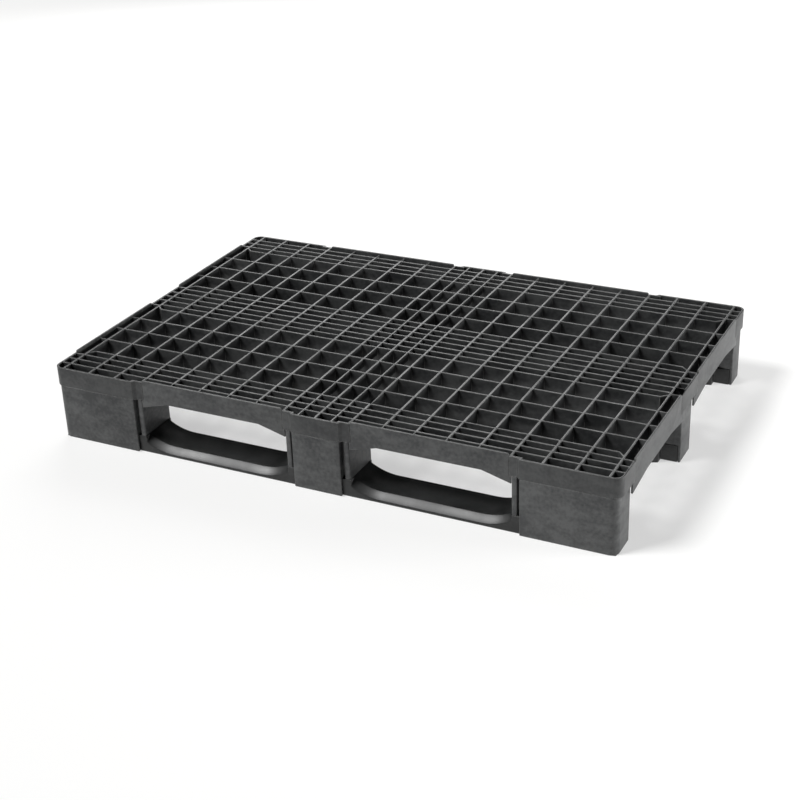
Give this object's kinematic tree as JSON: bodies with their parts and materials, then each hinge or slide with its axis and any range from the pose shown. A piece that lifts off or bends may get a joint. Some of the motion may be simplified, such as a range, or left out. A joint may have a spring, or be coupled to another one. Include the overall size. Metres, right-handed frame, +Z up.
{
  "type": "plastic pallet",
  "caption": "Black moulded plastic pallet with an open grid deck, raised edge rails, hollow feet and bottom runners, for forks from all four sides.",
  "frame": {"origin": "on the floor, under the middle of the pallet", "axes": "+Z up; X along the 1200 mm long sides; the front long side faces -Y"},
  "size_m": [1.2, 0.8, 0.16],
  "materials": {
    "deck": "moulded recycled polypropylene, fine mottle",
    "rails": "moulded recycled polypropylene, scuffed top edge",
    "feet": "moulded recycled polypropylene, mottled, scuffed edges",
    "runners": "moulded recycled polypropylene, rubbed smooth on the outer bevel",
    "screws": "zinc plated"
  },
  "bodies": {
    "root": {"deck_grid": "deck", "edge_rail_front_left": "rails", "edge_rail_front_right": "rails", "edge_rail_back_left": "rails", "edge_rail_back_right": "rails", "edge_rail_left_front": "rails", "edge_rail_left_back": "rails", "edge_rail_right_front": "rails", "edge_rail_right_back": "rails", "foot_front_left": "feet", "foot_front_middle": "feet", "foot_front_right": "feet", "foot_middle_left": "feet", "foot_centre": "feet", "foot_middle_right": "feet", "foot_back_left": "feet", "foot_back_middle": "feet", "foot_back_right": "feet", "runner_front": "runners", "runner_middle": "runners", "runner_back": "runners", "deck_screws_front": "screws", "runner_screws_front": "screws", "deck_screws_middle": "screws", "runner_screws_middle": "screws", "deck_screws_back": "screws", "runner_screws_back": "screws"}
  },
  "joints": []
}
